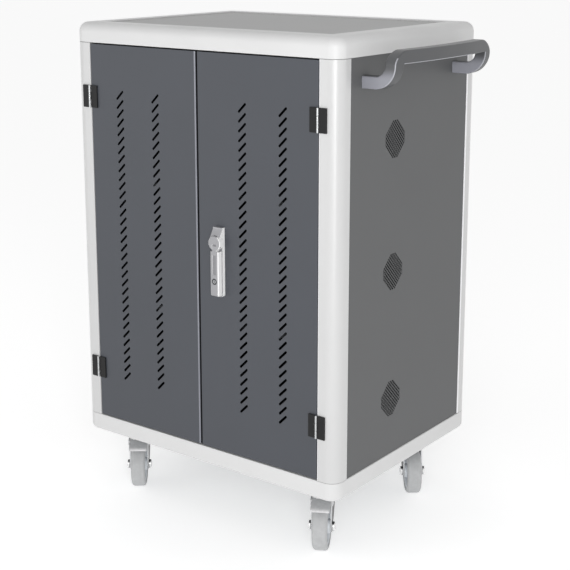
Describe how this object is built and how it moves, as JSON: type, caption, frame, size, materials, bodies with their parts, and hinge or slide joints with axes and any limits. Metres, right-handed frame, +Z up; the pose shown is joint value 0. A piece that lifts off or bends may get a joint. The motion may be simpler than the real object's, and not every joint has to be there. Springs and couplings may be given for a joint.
{
  "type": "charging cabinet",
  "caption": "Mobile charging cabinet with two slotted hinged doors, a swing-handle lock, device bays on shelves, a push handle on one side and swivel castors.",
  "frame": {"origin": "on the floor under the middle of the whole object's bounding box", "axes": "+Z up, -Y towards the doors, +X towards the side with the push handle"},
  "size_m": [0.775, 0.549, 1.056],
  "materials": {
    "light_grey_moulding": "satin moulded plastic",
    "post_paint": "fine satin powder coat on aluminium extrusion",
    "grey_paint": "fine-textured powder coat",
    "panel_paint": "fine-textured powder coat",
    "top_grey": "fine matt powder coat",
    "bare_steel": "zinc-plated sheet",
    "zinc": "bright zinc plate",
    "pin_steel": "drawn steel",
    "hinge_dark": "dark satin paint",
    "lock_silver": "satin die casting",
    "lock_dark": "dark plated",
    "handle_grey": "satin moulded plastic",
    "bay_plastic": "matt moulded plastic",
    "black_plastic": "matt moulded plastic",
    "tyre_grey": "grey thermoplastic rubber",
    "core_grey": "moulded nylon"
  },
  "bodies": {
    "cabinet": {"base_moulding": "light_grey_moulding", "crown_moulding": "light_grey_moulding", "front_left_post": "post_paint", "front_right_post": "post_paint", "rear_left_post": "post_paint", "rear_right_post": "post_paint", "base_tray": "bare_steel", "floor_panel": "bare_steel", "shelf_rails": "bare_steel", "lower_shelf": "bare_steel", "upper_shelf": "bare_steel", "top_panel": "top_grey", "left_side_panel": "panel_paint", "right_side_panel": "panel_paint", "rear_panel": "panel_paint", "device_dividers": "bay_plastic", "socket_strips": "black_plastic", "charge_controller": "black_plastic", "mains_inlet": "black_plastic", "striker_plates": "zinc", "castor_plates": "zinc", "push_handle": "handle_grey", "left_hinge_frame_leaves": "hinge_dark", "right_hinge_frame_leaves": "hinge_dark", "left_hinge_pins": "pin_steel", "right_hinge_pins": "pin_steel"},
    "left_door_body": {"left_door": "grey_paint", "left_hinge_door_leaves": "hinge_dark"},
    "right_door_body": {"right_door": "grey_paint", "right_hinge_door_leaves": "hinge_dark", "lock_base": "lock_silver", "rod_guides": "black_plastic"},
    "lock_turn_body": {"lock_spindle": "lock_silver", "lever_pin": "pin_steel", "latch_cam": "zinc"},
    "lever_body": {"lock_lever": "lock_silver", "lock_cylinder": "lock_dark"},
    "key_plug_body": {"key_plug": "lock_dark"},
    "upper_rod_body": {"upper_latch_rod": "zinc"},
    "lower_rod_body": {"lower_latch_rod": "zinc"},
    "rocker_body": {"power_rocker": "black_plastic"},
    "front_left_castor_body": {"front_left_fork": "zinc", "front_left_axle": "zinc"},
    "front_left_wheel_body": {"front_left_wheel_core": "core_grey", "front_left_tyre": "tyre_grey"},
    "front_left_pedal_body": {"front_left_brake_pedal": "zinc"},
    "front_right_castor_body": {"front_right_fork": "zinc", "front_right_axle": "zinc"},
    "front_right_wheel_body": {"front_right_wheel_core": "core_grey", "front_right_tyre": "tyre_grey"},
    "front_right_pedal_body": {"front_right_brake_pedal": "zinc"},
    "rear_left_castor_body": {"rear_left_fork": "zinc", "rear_left_axle": "zinc"},
    "rear_left_wheel_body": {"rear_left_wheel_core": "core_grey", "rear_left_tyre": "tyre_grey"},
    "rear_right_castor_body": {"rear_right_fork": "zinc", "rear_right_axle": "zinc"},
    "rear_right_wheel_body": {"rear_right_wheel_core": "core_grey", "rear_right_tyre": "tyre_grey"}
  },
  "joints": [
    {"name": "left_door_swing", "type": "hinge", "parent": "cabinet", "child": "left_door_body", "pos_m": [-0.3425, -0.259, 0.59], "axis": [0, 0, -1], "range_deg": [0, 175]},
    {"name": "right_door_swing", "type": "hinge", "parent": "cabinet", "child": "right_door_body", "pos_m": [0.2575, -0.259, 0.59], "axis": [0, 0, 1], "range_deg": [0, 175]},
    {"name": "lock_turn", "type": "hinge", "parent": "right_door_body", "child": "lock_turn_body", "pos_m": [0.0135, -0.26875, 0.629], "axis": [0, -1, 0], "range_deg": [0, 90]},
    {"name": "lever_tilt", "type": "hinge", "parent": "lock_turn_body", "child": "lever_body", "pos_m": [0.0135, -0.26875, 0.621], "axis": [-1, 0, 0], "range_deg": [0, 25]},
    {"name": "key_turn", "type": "hinge", "parent": "lever_body", "child": "key_plug_body", "pos_m": [0.0135, -0.26875, 0.549], "axis": [0, -1, 0], "range_deg": [0, 90]},
    {"name": "upper_rod_slide", "type": "slide", "parent": "right_door_body", "child": "upper_rod_body", "axis": [0, 0, -1], "range_m": [0, 0.0212]},
    {"name": "lower_rod_slide", "type": "slide", "parent": "right_door_body", "child": "lower_rod_body", "axis": [0, 0, 1], "range_m": [0, 0.0212]},
    {"name": "power_switch", "type": "hinge", "parent": "cabinet", "child": "rocker_body", "pos_m": [0.1435, 0.2665, 0.244], "axis": [-1, 0, 0], "range_deg": [0, 16]},
    {"name": "front_left_swivel", "type": "hinge", "parent": "cabinet", "child": "front_left_castor_body", "pos_m": [-0.3025, -0.1715, 0.112], "axis": [0, 0, 1], "continuous": true},
    {"name": "front_left_roll", "type": "hinge", "parent": "front_left_castor_body", "child": "front_left_wheel_body", "pos_m": [-0.28157, -0.19829, 0.05], "axis": [0.788, 0.6157, 0], "continuous": true},
    {"name": "front_left_brake", "type": "hinge", "parent": "front_left_castor_body", "child": "front_left_pedal_body", "pos_m": [-0.28526, -0.19356, 0.104], "axis": [0.788, 0.6157, 0], "range_deg": [0, 10]},
    {"name": "front_right_swivel", "type": "hinge", "parent": "cabinet", "child": "front_right_castor_body", "pos_m": [0.2175, -0.1715, 0.112], "axis": [0, 0, 1], "continuous": true},
    {"name": "front_right_roll", "type": "hinge", "parent": "front_right_castor_body", "child": "front_right_wheel_body", "pos_m": [0.23346, -0.20152, 0.05], "axis": [0.8829, 0.4695, 0], "continuous": true},
    {"name": "front_right_brake", "type": "hinge", "parent": "front_right_castor_body", "child": "front_right_pedal_body", "pos_m": [0.23064, -0.19622, 0.104], "axis": [0.8829, 0.4695, 0], "range_deg": [0, 10]},
    {"name": "rear_left_swivel", "type": "hinge", "parent": "cabinet", "child": "rear_left_castor_body", "pos_m": [-0.3025, 0.1715, 0.112], "axis": [0, 0, 1], "continuous": true},
    {"name": "rear_left_roll", "type": "hinge", "parent": "rear_left_castor_body", "child": "rear_left_wheel_body", "pos_m": [-0.29087, 0.13955, 0.05], "axis": [0.9397, 0.342, 0], "continuous": true},
    {"name": "rear_right_swivel", "type": "hinge", "parent": "cabinet", "child": "rear_right_castor_body", "pos_m": [0.2175, 0.1715, 0.112], "axis": [0, 0, 1], "continuous": true},
    {"name": "rear_right_roll", "type": "hinge", "parent": "rear_right_castor_body", "child": "rear_right_wheel_body", "pos_m": [0.2389, 0.14508, 0.05], "axis": [0.7771, 0.6293, 0], "continuous": true}
  ],
  "couplings": [
    {"joint": "upper_rod_slide", "follows": "lock_turn", "m_per_rad": 0.0135},
    {"joint": "lower_rod_slide", "follows": "lock_turn", "m_per_rad": 0.0135}
  ]
}
